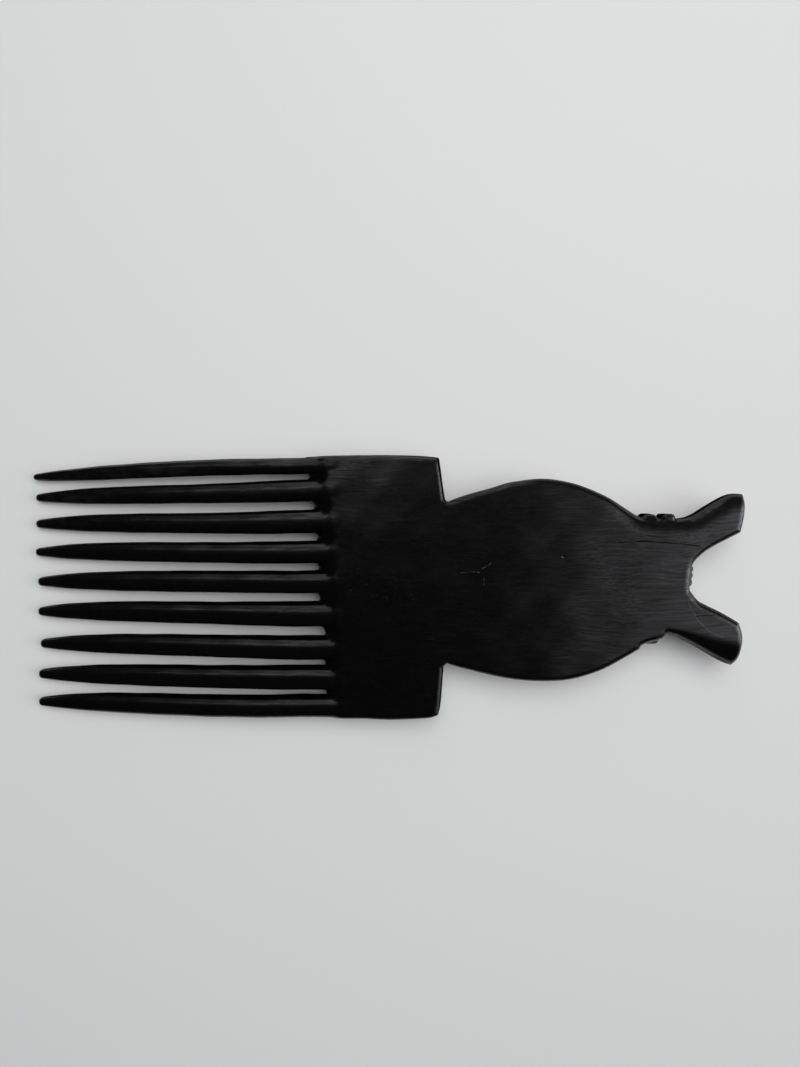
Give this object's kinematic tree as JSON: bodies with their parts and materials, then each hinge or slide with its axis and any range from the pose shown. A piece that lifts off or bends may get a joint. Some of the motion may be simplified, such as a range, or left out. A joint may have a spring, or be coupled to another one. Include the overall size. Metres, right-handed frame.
{
  "type": "hair comb",
  "caption": "Carved black wood hair comb with long tapered teeth, a square shoulder, a rounded handle and two short horns.",
  "frame": {"origin": "middle of the plan, at the lowest point of the carved front (the raised oval)", "axes": "+X from the teeth to the horns, +Y across the comb to its left side seen from the back with the horns up, +Z out of the plain back face"},
  "size_m": [0.1978, 0.0728, 0.012],
  "materials": {
    "ebony": "hand-rubbed satin, fine grain along the teeth"
  },
  "bodies": {
    "root": {"tooth_1": "ebony", "tooth_2": "ebony", "tooth_3": "ebony", "tooth_4": "ebony", "tooth_5": "ebony", "tooth_6": "ebony", "tooth_7": "ebony", "tooth_8": "ebony", "tooth_9": "ebony", "tooth_root_bar": "ebony", "shoulder_block": "ebony", "neck": "ebony", "handle_disc": "ebony", "head_plate": "ebony", "horn_left": "ebony", "horn_right": "ebony", "band_inner": "ebony", "band_outer": "ebony", "crest_knob": "ebony", "oval_boss": "ebony", "boss_rim": "ebony"}
  },
  "joints": []
}
